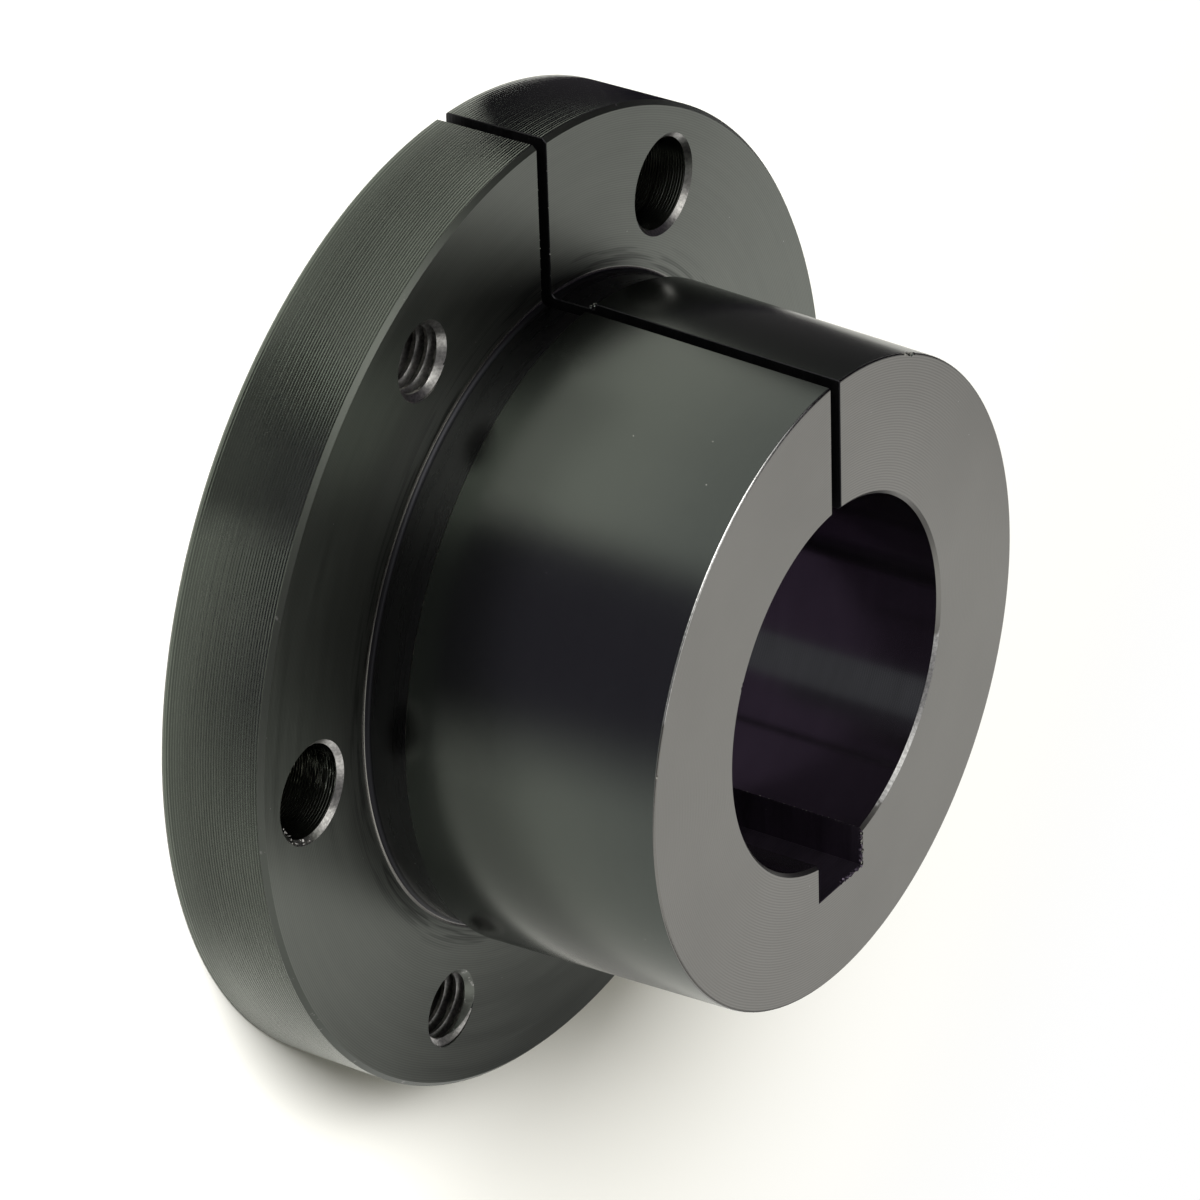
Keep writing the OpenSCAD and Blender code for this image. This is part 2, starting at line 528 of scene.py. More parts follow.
def lay_burrs(bm, s, chance):
    """Rows of burrs along the keyway and along the split"""
    wall, floor = s.keyway_width / 2, s.bore_diameter / 2 + s.keyway_depth
    top = s.overall_length - 0.29 * MM
    face = s.flange_thickness - 0.04 * MM
    near, far = -s.split_width / 2 - 0.03 * MM, s.split_width / 2 + 0.03 * MM
    bore_edge = 21.7 * MM
    # Start and end of each row, the number of burrs in it, and their size in millimetres
    rows = [
        ((-wall, 21.9 * MM, top), (-wall, floor, top), 8, 0.24),
        ((-wall, bore_edge, 32 * MM), (-wall, bore_edge, 51 * MM), 26, 0.1),
        ((-wall, floor, top), (0, floor, top), 9, 0.22),
        ((near, -57 * MM, face), (near, -41 * MM, face), 9, 0.1),
        ((far, -55 * MM, face), (far, -40 * MM, face), 12, 0.12),
    ]
    for start, end, count, size in rows:
        for i in range(count):
            place = Vector(start).lerp(Vector(end), (i + chance.uniform(0.1, 0.9)) / count)
            grain = rough_grain([size * MM * chance.uniform(0.6, 1.1) for axis in range(3)], 100 + i)
            add_to(bm, grain, place)


def lay_drill_chips(bm, s, chance):
    """Long chips in the mouth of the plain hole that the photograph shows from near by"""
    count = 17
    hole = place_on_circle(s.hole_circle / 2, 0)
    mouth = s.plain_hole / 2 + s.plain_hole_chamfer
    for i in range(count):
        angle = math.radians(18 + 68 * (i + chance.uniform(0.1, 0.9)) / count)
        grain = rough_grain([size * MM * chance.uniform(0.6, 1.2) for size in (0.13, 0.36, 0.12)], 200 + i)
        turn = Matrix.Rotation(angle + chance.uniform(-0.6, 0.6), 3, "Z")
        bmesh.ops.rotate(grain, verts=grain.verts, cent=ORIGIN, matrix=turn)
        away = mouth - chance.uniform(0.0, 0.75) * MM
        add_to(bm, grain, hole + place_on_circle(away, angle, s.flange_thickness - 0.15 * MM))


def lay_saw_crumbs(bm, s, chance):
    """Crumbs where the saw broke out of the barrel's shoulder"""
    for i in range(11):
        angle = math.radians(267.9 + chance.uniform(0.0, 2.4))
        grain = rough_grain([chance.uniform(0.14, 0.34) * MM for axis in range(3)], 300 + i)
        height = shoulder_height(s) + chance.uniform(-0.1, 0.7) * MM
        radius = s.taper_large_diameter / 2 - chance.uniform(0.0, 0.25) * MM
        add_to(bm, grain, place_on_circle(radius, angle, height))


def leave_chips(body, s):
    """Welds the machined body's seams and adds the burrs and chips that the tools left"""
    chance = random.Random(7)
    bm = bmesh.new()
    bm.from_mesh(body.data)
    bmesh.ops.remove_doubles(bm, verts=bm.verts, dist=WELD)
    machined = len(bm.faces)
    chips = bmesh.new()
    for lay in (lay_burrs, lay_drill_chips, lay_saw_crumbs):
        lay(chips, s, chance)
    add_to(bm, chips)
    chip = bm.faces.layers.bool.new("chip")
    bm.faces.ensure_lookup_table()
    for face in bm.faces[machined:]:
        face[chip] = True
    bm.to_mesh(body.data)
    bm.free()


def drill_and_broach(body, s):
    cutters = keyway_cutter(s)
    for kind, place in hole_places():
        if kind == "plain":
            add_to(cutters, plain_hole_cutter(s), place)
        else:
            add_to(cutters, countersink_cutter(s, 0.0, -1), place)
            add_to(cutters, countersink_cutter(s, s.flange_thickness, 1), place)
    cut_away(body, cutters)


def tap_holes(body, s):
    cutters = bmesh.new()
    for kind, place in hole_places():
        if kind == "tapped":
            add_to(cutters, tap_cutter(s), place)
    cut_away(body, cutters)


# Materials


class Shader:
    """Adds nodes to one material or world and links them"""

    def __init__(self, owner):
        self.owner = owner
        owner.use_nodes = True
        self.tree = owner.node_tree
        self.tree.nodes.clear()
        world = owner.id_type == "WORLD"
        self.output = self.node("ShaderNodeOutputWorld" if world else "ShaderNodeOutputMaterial")

    def finish(self, surface):
        self.tree.links.new(surface.outputs[0], self.output.inputs["Surface"])

    def node(self, kind, values=(), **settings):
        """A node with settings, whose inputs are set or linked by name or number"""
        made = self.tree.nodes.new(kind)
        for setting, value in settings.items():
            setattr(made, setting, value)
        for socket, value in dict(values).items():
            if isinstance(value, bpy.types.NodeSocket):
                self.tree.links.new(value, made.inputs[socket])
            else:
                made.inputs[socket].default_value = value
        return made

    def math(self, operation, first, second=0.0, third=0.0):
        made = self.node("ShaderNodeMath", {0: first, 1: second, 2: third}, operation=operation)
        return made.outputs[0]

    def vector(self, operation, first, second=(0, 0, 0)):
        made = self.node("ShaderNodeVectorMath", {0: first, 1: second}, operation=operation)
        return made.outputs["Value" if operation == "LENGTH" else "Vector"]

    def ramp(self, value, low, high, to_low=0.0, to_high=1.0):
        """Value taken from one range to another with soft ends"""
        values = {0: value, 1: low, 2: high, 3: to_low, 4: to_high}
        return self.node("ShaderNodeMapRange", values, interpolation_type="SMOOTHSTEP").outputs[0]

    def mix(self, factor, first, second):
        """Mix of two colours"""
        made = self.node("ShaderNodeMix", {0: factor, 6: first, 7: second}, data_type="RGBA")
        return made.outputs[2]

    def noise(self, vector, scale, detail=2.0, roughness=0.5):
        values = {"Vector": vector, "Scale": scale, "Detail": detail, "Roughness": roughness}
        return self.node("ShaderNodeTexNoise", values).outputs[0]

    def facing(self, around, degrees):
        """1 where a direction round the axis points along an angle, and -1 where it points the other way"""
        aim = tuple(place_on_circle(1, math.radians(degrees)))
        made = self.node("ShaderNodeVectorMath", {0: around, 1: aim}, operation="DOT_PRODUCT")
        return made.outputs["Value"]


def polar(shader):
    """Radius, height and direction from the bore's axis at the shaded point"""
    place = shader.node("ShaderNodeTexCoord").outputs["Object"]
    flat = shader.vector("MULTIPLY", place, (1, 1, 0))
    radius = shader.vector("LENGTH", flat)
    around = shader.vector("NORMALIZE", flat)
    height = shader.node("ShaderNodeSeparateXYZ", {0: place}).outputs["Z"]
    return place, radius, height, around


def lay_vector(shader, across, around, stretch):
    """Coordinates whose noise runs in long streaks round the axis: fine across the lay, slow along it"""
    parts = shader.node("ShaderNodeSeparateXYZ", {0: around})
    return shader.node("ShaderNodeCombineXYZ", {
        0: across,
        1: shader.math("MULTIPLY", parts.outputs["X"], stretch),
        2: shader.math("MULTIPLY", parts.outputs["Y"], stretch),
    }).outputs[0]


def specks(shader, place):
    """1 at sparse grains of dust, 0 elsewhere"""
    cells = shader.node("ShaderNodeTexVoronoi", {"Vector": place, "Scale": 420.0})
    near = shader.ramp(cells.outputs["Distance"], 0.022, 0.034, 1.0, 0.0)
    chosen = shader.node("ShaderNodeSeparateXYZ", {0: cells.outputs["Color"]}).outputs["X"]
    return shader.math("MULTIPLY", near, shader.ramp(chosen, 0.78, 0.80))


def swing(shader, value, strength, base):
    """The base moved up and down as a value swings about a half"""
    return shader.math("MULTIPLY_ADD", shader.math("SUBTRACT", value, 0.5), strength, base)


def glinting_chatter_marks(shader, place, radius, edge):
    """1 on short marks across the lay inside a radius, where they stand for a painted glint on the side of
    each hole wall towards the axis
    """
    inside = shader.ramp(radius, edge - 0.5 * MM, edge, 1.0, 0.0)
    marks = shader.noise(shader.vector("MULTIPLY", place, (700, 700, 3200)), 1.0, 2.0)
    return shader.math("MULTIPLY", inside, shader.ramp(marks, 0.5, 0.6))


def root_shade_rings(shader, radius, around, edge):
    """1 on dark rings of painted shade that crowd round a radius and thin out from it"""
    near = shader.ramp(radius, edge, edge + 4 * MM, 1.0, 0.0)
    dark = shader.noise(lay_vector(shader, radius, around, 2.5 * MM), 1600.0, 1.0)
    return shader.math("MULTIPLY", near, shader.ramp(dark, 0.5, 0.62))


def steel(
    name, colour, roughness, lay, pitch, depth, streaks=0.12, anisotropy=0.4, rings=0.0,
    gloss_streaks=0.1, ridges=0.2, run=4, metallic=1.0, root=None, lit=None, chatter_glint_radius=None,
):
    """Machined steel; lay is "face" for rings on a flat face or "round" for rings up a cylinder

    Pitch and depth are those of the tool's feed. Ridges is its share of the relief, beside finer lines, and
    run says how fast these change along the lay. Streaks and rings are the strengths of the lines and of the
    feed in the colour, and gloss_streaks that of the lines in the gloss. Root is a radius near which painted
    shade darkens the rings, lit a direction in degrees along which the rings are painted brighter as a glint,
    and the chatter radius one inside which short marks across them are painted bright as a glint
    """
    shader = Shader(bpy.data.materials.new(name))
    place, radius, height, around = polar(shader)
    across = radius if lay == "face" else height
    tangent = around if lay == "face" else tuple(UP)
    feed = shader.math("SINE", shader.math("MULTIPLY", across, math.tau / pitch))
    fine = shader.noise(lay_vector(shader, across, around, run * pitch), 1.6 / pitch, 3.0, 0.6)
    broad = shader.noise(lay_vector(shader, across, around, 12 * pitch), 0.22 / pitch, 3.0, 0.6)
    cloud = shader.noise(place, 90.0, 3.0, 0.55)
    ridge = shader.math("MULTIPLY", feed, 1.75 * ridges)
    relief = shader.math("MULTIPLY_ADD", fine, 1.75 * (1 - ridges), ridge)
    bump = shader.node("ShaderNodeBump", {"Height": relief, "Distance": depth, "Strength": 1.0})
    tone = swing(shader, broad, streaks * 2, 1.0)
    tone = swing(shader, cloud, 0.12, tone)
    # Painted glint: the rings in the colour are strong only where the radius points along lit or against it
    if lit is not None:
        aside = shader.math("ABSOLUTE", shader.facing(around, lit))
        feed = shader.math("MULTIPLY", feed, shader.ramp(aside, 0.8, 0.98, 0.15, 1.0))
    tone = shader.math("MULTIPLY_ADD", feed, rings, tone)
    # Painted glint: bright marks on the side of each drilled wall that faces the bushing's axis
    if chatter_glint_radius is not None:
        tone = shader.math("MULTIPLY_ADD", glinting_chatter_marks(shader, place, radius, chatter_glint_radius), 6.0, tone)
    # Painted shade: darker rings on the flange's face next to the root of the taper
    if root is not None:
        tone = shader.math("MULTIPLY_ADD", root_shade_rings(shader, radius, around, root), -0.45, tone)
    toned = shader.vector("MULTIPLY", tuple(colour), tone)
    surface = shader.node("ShaderNodeBsdfPrincipled", {
        "Base Color": shader.mix(specks(shader, place), toned, (0.42, 0.42, 0.4, 1)), "Metallic": metallic,
        "Roughness": swing(shader, broad, gloss_streaks, roughness), "Anisotropic": anisotropy,
        "Tangent": tangent, "Normal": bump.outputs[0],
    })
    shader.finish(surface)
    return shader.owner


def worn_edge(name, oxide, bare, roughness, wear_scale, bareness, side=None, grain=0.012):
    """Narrow edge or countersink, bare where the oxide is rubbed off in patches, and where a side is given,
    more so on that side as a painted highlight

    Side is that side's direction in degrees, and grain the depth of the grit in millimetres
    """
    shader = Shader(bpy.data.materials.new(name))
    place, radius, height, around = polar(shader)
    patches = shader.noise(place, wear_scale, 4.0, 0.65)
    # Painted highlight: more of the edge is bare bright steel on the side that faces the given direction
    if side is not None:
        turned = shader.ramp(shader.facing(around, side), 0.78, 0.97, -0.4, 0.3)
        patches = shader.math("ADD", patches, turned)
    wear = shader.ramp(patches, 0.78 - bareness, 0.90 - bareness)
    grit = shader.noise(place, 4000.0, 2.0, 0.6)
    bump = shader.node("ShaderNodeBump", {"Height": grit, "Distance": grain * MM, "Strength": 1.0})
    shade = shader.ramp(shader.noise(place, 2600.0, 3.0, 0.6), 0.25, 0.75, 0.55, 1.0)
    colour = shader.mix(wear, (*oxide, 1), shader.vector("MULTIPLY", tuple(bare), shade))
    surface = shader.node("ShaderNodeBsdfPrincipled", {
        "Base Color": colour, "Metallic": 1.0, "Roughness": roughness, "Normal": bump.outputs[0],
    })
    shader.finish(surface)
    return shader.owner


def make_materials(s):
    """One material for each finish on the bushing, by the finish's name"""
    f = finish()
    # Radius next to which painted shade darkens the flange's rings
    root = s.taper_large_diameter / 2 + 0.1 * MM
    # Radius inside which the drilled walls get painted glints
    chatter_glint_radius = s.hole_circle / 2 - 4.4 * MM
    faced, bare, polished_and_glint = f.faced_oxide, f.bare_steel, f.polished_edge_and_glint
    return {
        "rim": steel(
            "turned_rim", f.rim_oxide, 0.24, "round", groove_layout(s)[1], 0.0007 * MM, 0.12, 0.0, -0.3,
            gloss_streaks=0.05, run=0.6,
        ),
        "flange": steel(
            "faced_flange", faced, 0.34, "face", 0.283 * MM, 0.006 * MM, 0.14, 0.6, 0.11, root=root,
        ),
        # The nose's rings are painted brighter along one direction: a painted glint
        "nose": steel(
            "faced_nose", f.nose_oxide, 0.38, "face", 0.32 * MM, 0.006 * MM, 0.06, 0.45, 0.13, lit=250,
        ),
        "taper": steel(
            "ground_taper", f.taper_oxide, 0.22, "round", 0.14 * MM, 0.0001 * MM, 0.03, 0.3,
            gloss_streaks=0.03,
        ),
        # The neck's dark colour holds painted shade of its recess as well as its oxide
        "neck": steel("turned_neck", f.neck_oxide_and_shade, 0.28, "round", 0.25 * MM, 0.0006 * MM, 0.14, 0.3),
        # Fillet faces that tilt away from the light are near-black: painted shade
        "root": steel("black_root", f.root_oxide_and_shade, 0.35, "round", 0.25 * MM, 0.001 * MM, 0.14, 0.0),
        # Fillet faces that tilt towards the light get a bright colour: a painted highlight
        "fillet": steel("highlit_fillet", f.fillet_highlight, 0.24, "round", 0.25 * MM, 0.0, 0.3, 0.0),
        "bore": steel(
            "bored_wall", f.bore_oxide, 0.12, "round", 0.3 * MM, 0.0001 * MM, 0.16, 0.0, 0.2,
            gloss_streaks=0.02, metallic=0.99,
        ),
        # The sawn finish also lies on the thread's roots and downward faces as painted shade
        "sawn and thread shade": steel("sawn_wall_and_thread_shade", f.sawn_oxide_and_thread_shade, 0.45, "round", 0.4 * MM, 0.015 * MM, 0.3, 0.3),
        "broached": steel("broached_wall", f.broached_oxide, 0.45, "round", 0.4 * MM, 0.015 * MM, 0.3, 0.3),
        "drilled": steel(
            "drilled_wall", f.drilled, 0.24, "round", 0.36 * MM, 0.024 * MM, 0.4, 0.3,
            ridges=0.45, chatter_glint_radius=chatter_glint_radius,
        ),
        "thread": worn_edge("cut_thread", f.bore_oxide, bare, 0.30, 2500.0, 0.60, grain=0.018),
        "chip": worn_edge("loose_chip", faced, bare, 0.34, 2500.0, 0.38),
        "edge": worn_edge("oxide_edge", f.edge_oxide, bare, 0.40, 420.0, 0.13),
        "shoulder": worn_edge("shoulder_edge", faced, bare, 0.32, 420.0, 0.27),
        # The nose edge and the bore lip are made bright on one side: painted highlights on rubbed edges
        "nose edge": worn_edge("nose_edge", f.nose_oxide, polished_and_glint, 0.25, 300.0, 0.46, side=308),
        "bore lip": worn_edge("bore_lip", f.nose_oxide, polished_and_glint, 0.30, 300.0, 0.30, side=140),
        "countersink": worn_edge("bare_countersink", faced, bare, 0.28, 900.0, 0.56, grain=0.02),
        # Darker copy of the countersink for the tapped holes on the +Y side: painted shade
        "shaded countersink": worn_edge("shaded_countersink", faced, bare, 0.34, 900.0, 0.22, grain=0.02),
    }


def hole_finish(s, middle, normal, holes):
    """Name of the finish on a wall or a mouth of a flange hole, or nothing away from the holes"""
    depth = min(middle.z, s.flange_thickness - middle.z)
    if depth < -PLACE_TOLERANCE or (abs(normal.z) > FLAT and depth < FACE_TOLERANCE):
        return None
    for kind, place in holes:
        away = math.hypot(middle.x - place.x, middle.y - place.y)
        if kind == "plain" and away < s.plain_hole / 2 + s.plain_hole_chamfer:
            return "drilled" if abs(normal.z) < WALL else "countersink"
        if kind == "tapped" and away < s.tapped_hole / 2 + s.tapped_hole_chamfer:
            if 0.66 < abs(normal.z) < 0.76:
                # Painted shade: the tapped holes on the +Y side take the darker copy of the countersink
                return "shaded countersink" if place.y > -PLACE_TOLERANCE else "countersink"
            # Painted light and shade: the thread's upward faces take the bright cut-thread finish, its roots
            # and downward faces the near-black sawn one
            bright = away < s.thread_diameter / 2 - 0.1 * MM and normal.z > -0.1
            return "thread" if bright else "sawn and thread shade"
    return None


def slot_finish(s, middle, normal):
    """Name of the finish on a wall of the split or of the keyway, or nothing away from both"""
    if middle.y < 0:
        in_cut = abs(middle.x) < s.split_width / 2 + s.edge_break + PLACE_TOLERANCE
        return "sawn and thread shade" if in_cut and abs(normal.x) > 0.6 else None
    if abs(middle.x) < s.keyway_width / 2 + PLACE_TOLERANCE and abs(normal.z) <= FLAT:
        bore = s.bore_diameter / 2
        if bore + PLACE_TOLERANCE < math.hypot(middle.x, middle.y) < bore + s.keyway_depth + 1 * MM:
            return "broached"
    return None


def turned_finish(s, middle, normal):
    """Name of the finish on a face that the lathe left"""
    radius, height, up = math.hypot(middle.x, middle.y), middle.z, normal.z
    large = s.taper_large_diameter / 2
    if radius < s.bore_diameter / 2 + s.bore_chamfer and abs(up) <= FLAT:
        return "bore" if abs(up) < WALL else "bore lip"
    # Painted highlight: only the facets of the round nose edge that tilt towards the light take its bright
    # finish
    if height > s.overall_length - s.nose_chamfer and 0.4 < up < 0.95:
        return "nose edge"
    if height > s.overall_length - PLACE_TOLERANCE:
        return "nose"
    on_face = height < PLACE_TOLERANCE or abs(height - s.flange_thickness) < FACE_TOLERANCE
    if abs(up) > FLAT and on_face:
        return "flange"
    if radius > s.flange_diameter / 2 - 1 * MM:
        grooved = s.flange_back_chamfer < height < s.flange_thickness - s.flange_front_chamfer
        return "rim" if grooved else "edge"
    if height >= shoulder_height(s) + s.shoulder_chamfer:
        return "taper"
    if radius > large - s.shoulder_chamfer:
        return "shoulder"
    if height > s.flange_thickness + s.neck_fillet:
        return "neck"
    # Painted light and shade: fillet faces that tilt a little from the flange's face take the bright finish,
    # the steeper ones the near-black one
    return "fillet" if 0.87 < up < 0.99 else "root"


def finish_at(s, middle, normal, holes):
    """Name of the finish on the face at a place"""
    cut = hole_finish(s, middle, normal, holes) or slot_finish(s, middle, normal)
    return cut or turned_finish(s, middle, normal)


def lay_finishes(body, s):
    """Gives each face of the bushing the material of its finish"""
    materials = make_materials(s)
    slots = list(materials)
    body.data.materials.clear()
    for material in materials.values():
        body.data.materials.append(material)
    holes = hole_places()
    chips = body.data.attributes["chip"].data
    for face in body.data.polygons:
        laid = "chip" if chips[face.index].value else finish_at(s, face.center, face.normal, holes)
        face.material_index = slots.index(laid)
        face.use_smooth = True
    body.data.set_sharp_from_angle(angle=SHARP_ANGLE)


class BUSHING_OT_machine(bpy.types.Operator):
    """Turns, saws, broaches, drills and taps the bushing from one blank"""

    bl_idname = "bushing.machine"
    bl_label = "Machine the Bushing"

    def execute(self, context):
        s = sizes()
        blank = spin_outline(half_section(s), TURN_STEPS, closed=True)
        saw_split(blank, s)
        body = object_of(blank, "machined_bushing")
        drill_and_broach(body, s)
        tap_holes(body, s)
        for cutter in nicks(s):
            cut_away(body, cutter)
        leave_chips(body, s)
        lay_finishes(body, s)
        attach(body, "root")
        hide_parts("bushing")
        return {"FINISHED"}


# Studio


# Colours of the floor near the bushing, of the even light on rough surfaces, and of white
PAPER_COLOUR = (0.95, 0.94, 0.89, 1)
EVEN_LIGHT_COLOUR = (1, 0.98, 0.86, 1)
WHITE = (1, 1, 1, 1)
# Colours that the dark nets and the bright panel send into the steel's gloss
NET_COLOUR = (1.22, 1.0, 1.55, 1)
PANEL_COLOUR = (1, 1, 0.98, 1)
# Glow of the card under the bore and of the rod in it
BORE_CARD_COLOUR = (0.205, 0.182, 0.22, 1)
BORE_ROD_COLOUR = (0.1, 0.119, 0.108, 1)


def seen_rays(shader):
    """1 for rays that show the background: from the camera, in a gloss or through glass"""
    path = shader.node("ShaderNodeLightPath")
    seen = shader.math("MAXIMUM", path.outputs["Is Camera Ray"], path.outputs["Is Glossy Ray"])
    return shader.math("MAXIMUM", seen, path.outputs["Is Transmission Ray"])


def floor_material(lift):
    """Pale floor that takes the bushing's shadow close by and is plain white further off"""
    shader = Shader(bpy.data.materials.new("pale_floor"))
    place, radius, height, around = polar(shader)
    seen = seen_rays(shader)
    paper = shader.node("ShaderNodeBsdfDiffuse", {"Color": PAPER_COLOUR})
    glow = shader.node("ShaderNodeEmission", {"Strength": shader.math("MULTIPLY", seen, lift)})
    near = shader.node("ShaderNodeAddShader", {0: paper.outputs[0], 1: glow.outputs[0]})
    white = shader.node("ShaderNodeEmission", {"Strength": 1.0})
    far = shader.math("MULTIPLY", shader.ramp(radius, 0.10, 0.22), seen)
    surface = shader.node("ShaderNodeMixShader", {0: far, 1: near.outputs[0], 2: white.outputs[0]})
    shader.finish(surface)
    return shader.owner


def lay_floor(b):
    bm = bmesh.new()
    bmesh.ops.create_circle(bm, cap_ends=True, segments=96, radius=6.0)
    floor = object_of(bm, "floor")
    floor.data.materials.append(floor_material(b.floor_lift))


def unseen(thing):
    """Shows a thing only in the steel's gloss"""
    thing.visible_camera = False
    thing.visible_diffuse = False
    thing.visible_shadow = False


def net(shader, cover, glow, colour=NET_COLOUR):
    """Dark net: clear where the cover is 0 and closed where it is 1, with a glow of its own"""
    clear = shader.node("ShaderNodeBsdfTransparent")
    thread = shader.node("ShaderNodeEmission", {"Color": colour, "Strength": glow})
    shader.finish(shader.node("ShaderNodeMixShader", {0: cover, 1: clear.outputs[0], 2: thread.outputs[0]}))


def hang_flag(name, outline, first, last, first_soft, last_soft, darkness, glow=0.015, colour=NET_COLOUR):
    """A net swept between two directions round the bushing, which thins out towards both of its ends

    The outline holds radius and height in millimetres, and the directions and the soft ends are in degrees
    """
    shader = Shader(bpy.data.materials.new(name))
    half = math.radians((last - first) / 2)
    place = shader.node("ShaderNodeTexCoord").outputs["Object"]
    back = -math.radians((first + last) / 2)
    turned = shader.node("ShaderNodeVectorRotate", {"Vector": place, "Angle": back}, rotation_type="Z_AXIS")
    parts = shader.node("ShaderNodeSeparateXYZ", {0: turned.outputs[0]})
    angle = shader.math("ARCTAN2", parts.outputs["Y"], parts.outputs["X"])
    opening = shader.ramp(angle, -half, math.radians(first_soft) - half)
    closing = shader.ramp(angle, half - math.radians(last_soft), half, 1.0, 0.0)
    cover = shader.math("MULTIPLY", shader.math("MULTIPLY", opening, closing), darkness)
    net(shader, cover, glow, colour)
    bm = bmesh.new()
    corners = [bm.verts.new((radius * MM, 0, height * MM)) for radius, height in outline]
    edges = [bm.edges.new(pair) for pair in zip(corners, corners[1:])]
    turn = Matrix.Rotation(math.radians(first), 3, "Z")
    bmesh.ops.rotate(bm, verts=corners, cent=ORIGIN, matrix=turn)
    bmesh.ops.spin(bm, geom=corners + edges, cent=ORIGIN, axis=UP, angle=2 * half, steps=24)
    flag = object_of(bm, name)
    flag.data.materials.append(shader.owner)
    unseen(flag)


def hang_oval_flag(name, place, facing, size, darkness):
    """A dark net on an oval card that thins out towards its rim; size is in millimetres"""
    shader = Shader(bpy.data.materials.new(name))
    off = shader.vector("LENGTH", shader.node("ShaderNodeTexCoord").outputs["Object"])
    net(shader, shader.ramp(off, 0.45, 1.0, darkness, 0.0), 0.015)
    bm = bmesh.new()
    bmesh.ops.create_circle(bm, cap_ends=True, segments=48, radius=1.0)
    flag = object_of(bm, name)
    flag.data.materials.append(shader.owner)
    flag.location = place
    flag.rotation_euler = facing.to_track_quat("Z", "Y").to_euler()
    flag.scale = (size[0] * MM, size[1] * MM, 1)
    unseen(flag)


def hang_flags():
    """Nets and a panel that shape what the barrel, the rim and the neck reflect"""
    hang_flag("front_flag", [(104, 0.5), (500, 0.5), (500, 60)], 300, 384, 14, 32, 0.97, 0.12)
    hang_flag("near_flag", [(77, 0.7), (106, 0.7)], 302, 378, 14, 24, 0.98, 0.02)
    hang_flag("high_flag", [(430, 190), (383, 321), (250, 433), (30, 495)], 298, 405, 12, 30, 0.9)
    hang_flag("rim_net", [(59.2, 0.3), (76, 0.3)], 254, 396, 10, 20, 0.45)
    hang_flag("rim_flag", [(59.2, 0.4), (82, 0.4)], 300, 330, 14, 6, 0.62)
    hang_flag("side_net", [(85, 0.9), (113, 0.9)], 345, 492, 20, 20, 0.52)
    hang_flag("side_rim_net", [(64, 0.8), (84, 0.8)], 335, 425, 14, 24, 0.32)
    hang_flag("left_net", [(62, 0.8), (108, 0.8)], 258, 322, 14, 16, 0.36)
    hang_flag("neck_net", [(450, 150), (450, 380)], 60, 134, 14, 10, 0.7)
    hang_flag("top_rim_flag", [(59.0, 0.4), (86, 0.4)], 224, 265, 8, 4, 0.98)
    hang_flag("top_near_flag", [(60, 0.6), (88, 0.6)], 185, 238, 11, 8, 1.0)
    hang_flag("top_flag", [(88, 0.7), (400, 0.7)], 184, 238, 10, 8, 0.94)
    hang_flag("back_flag", [(500, 10), (500, 480), (260, 640)], 165, 262, 8, 22, 1.0)
    hang_flag("high_glow", [(400, 120), (400, 420)], 264, 322, 12, 18, 1.0, 4.2, PANEL_COLOUR)


def hang_oval_flags():
    """Two cards across the direction in which the nose reflects what the camera sees"""
    azimuth = math.radians(144.7)
    mirrored = direction(azimuth, math.radians(30))
    aside = direction(azimuth + math.radians(90), 0)
    above = mirrored.cross(aside)
    # Distance, place aside and above, width and height in millimetres, and darkness of each
    for name, away, across, high, size, darkness in (
        ("low_flag", 107, -62, -12, (44, 38), 1.0),
        ("dim_flag", 107, 56, 22, (34, 24), 0.42),
    ):
        place = (mirrored * away + aside * across + above * high) * MM
        hang_oval_flag(name, place, mirrored, size, darkness)


def hang_in_bore(bm, name, colour):
    """Makes a shape in the bore glow in one colour that only the bore's gloss shows"""
    shader = Shader(bpy.data.materials.new(name))
    shader.finish(shader.node("ShaderNodeEmission", {"Color": colour}))
    made = object_of(bm, name)
    made.data.materials.append(shader.owner)
    unseen(made)


def light_bore():
    """A dim card under the bore, and a rod near its axis that draws one soft line down the bore's wall"""
    s = sizes()
    card = bmesh.new()
    bmesh.ops.create_circle(card, cap_ends=True, segments=64, radius=s.bore_diameter / 2 - 0.3 * MM)
    bmesh.ops.translate(card, verts=card.verts, vec=UP * 0.2 * MM)
    hang_in_bore(card, "bore_card", BORE_CARD_COLOUR)
    rod = bmesh.new()
    thick, length = 2.3 * MM, s.overall_length - 1 * MM
    bmesh.ops.create_cone(rod, segments=24, radius1=thick, radius2=thick, depth=length)
    bmesh.ops.translate(rod, verts=rod.verts, vec=(0.55 * MM, 0.98 * MM, s.overall_length / 2))
    hang_in_bore(rod, "bore_rod", BORE_ROD_COLOUR)


def light_world(b):
    """White all round where it is seen, and an even light of plain strength on rough surfaces"""
    shader = Shader(bpy.data.worlds.new("even_light"))
    seen = seen_rays(shader)
    strength = shader.ramp(seen, 0.0, 1.0, b.world_light, 1.0)
    colour = shader.mix(seen, EVEN_LIGHT_COLOUR, WHITE)
    shader.finish(shader.node("ShaderNodeBackground", {"Color": colour, "Strength": strength}))
    bpy.context.scene.world = shader.owner


def direction(azimuth, elevation):
    """Unit vector from the bushing towards a direction"""
    level = math.cos(elevation)
    return Vector((level * math.cos(azimuth), level * math.sin(azimuth), math.sin(elevation)))


def hang_lamp(name, size, away, azimuth, elevation, radiance):
    """Square soft lamp that faces the bushing; its power follows from its size and its face's brightness"""
    lamp = bpy.data.lights.new(name, "AREA")
    lamp.shape = "SQUARE"
    lamp.size = size
    lamp.energy = radiance * math.pi * size * size
    made = bpy.data.objects.new(name, lamp)
    bpy.context.scene.collection.objects.link(made)
    made.location = direction(azimuth, elevation) * away
    made.rotation_euler = (-made.location).to_track_quat("-Z", "Y").to_euler()
    made.visible_glossy = False


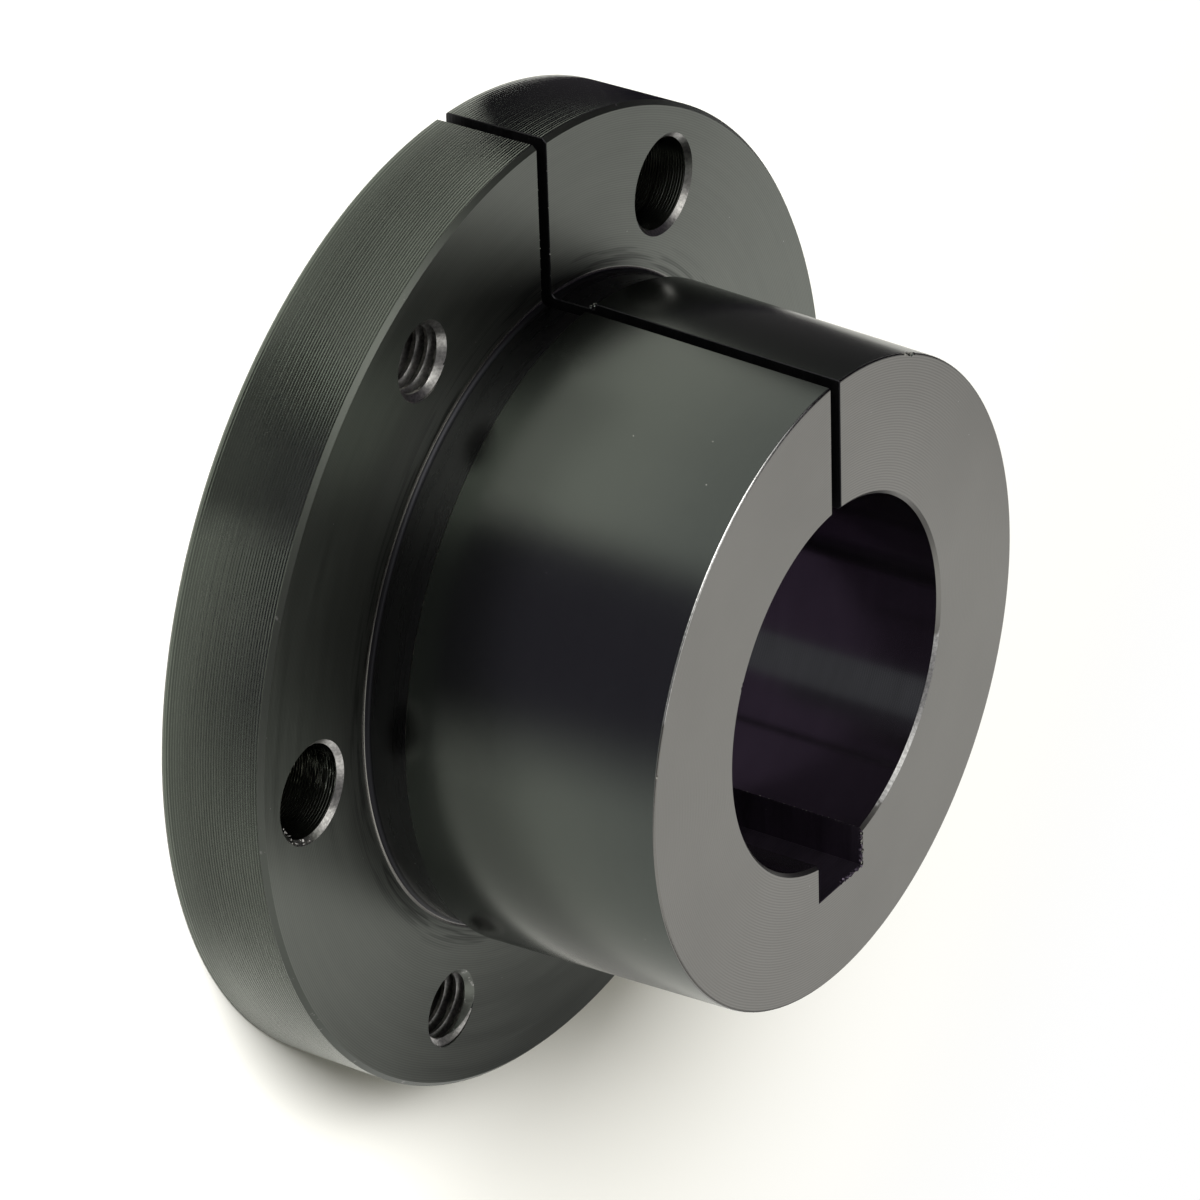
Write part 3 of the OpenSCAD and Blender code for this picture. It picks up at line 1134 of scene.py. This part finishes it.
def set_camera(b):
    camera = bpy.data.cameras.new("camera")
    camera.lens = b.lens
    camera.sensor_width = b.sensor
    camera.clip_start = 0.01
    camera.clip_end = 50.0
    made = bpy.data.objects.new("camera", camera)
    bpy.context.scene.collection.objects.link(made)
    back = direction(b.camera_azimuth, b.camera_elevation)
    made.location = Vector(b.target) + back * b.camera_distance
    level = back.to_track_quat("Z", "Y")
    made.rotation_mode = "QUATERNION"
    made.rotation_quaternion = level @ Matrix.Rotation(b.camera_roll, 3, "Z").to_quaternion()
    bpy.context.scene.camera = made


class BUSHING_OT_stage(bpy.types.Operator):
    """Sets the floor, the flags, the light and the camera"""

    bl_idname = "bushing.stage"
    bl_label = "Set the Studio"

    def execute(self, context):
        b = studio()
        context.scene.view_settings.view_transform = "Standard"
        lay_floor(b)
        hang_flags()
        hang_oval_flags()
        light_bore()
        light_world(b)
        hang_lamp("key_lamp", b.key_size, b.key_distance, b.key_azimuth, b.key_elevation, b.key_radiance)
        set_camera(b)
        return {"FINISHED"}


class BUSHING_PT_panel(bpy.types.Panel):
    """Lists the steps and their sizes"""

    bl_label = "Bushing"
    bl_idname = "BUSHING_PT_panel"
    bl_space_type = "VIEW_3D"
    bl_region_type = "UI"
    bl_category = "Bushing"

    def draw(self, context):
        for operator in (BUSHING_OT_machine, BUSHING_OT_stage):
            self.layout.operator(operator.bl_idname)
        for group in (sizes(), finish(), studio()):
            box = self.layout.box()
            for name in group.__annotations__:
                box.prop(group, name)


CLASSES = (BushingSizes, BushingFinish, BushingStudio, BUSHING_OT_machine, BUSHING_OT_stage, BUSHING_PT_panel)


def register():
    for item in CLASSES:
        bpy.utils.register_class(item)
    bpy.types.Scene.bushing_sizes = bpy.props.PointerProperty(type=BushingSizes)
    bpy.types.Scene.bushing_finish = bpy.props.PointerProperty(type=BushingFinish)
    bpy.types.Scene.bushing_studio = bpy.props.PointerProperty(type=BushingStudio)


def unregister():
    del bpy.types.Scene.bushing_sizes
    del bpy.types.Scene.bushing_finish
    del bpy.types.Scene.bushing_studio
    for item in reversed(CLASSES):
        bpy.utils.unregister_class(item)


def main():
    register()
    bpy.ops.bushing.machine()
    bpy.ops.bushing.stage()


if __name__ == "__main__":
    main()
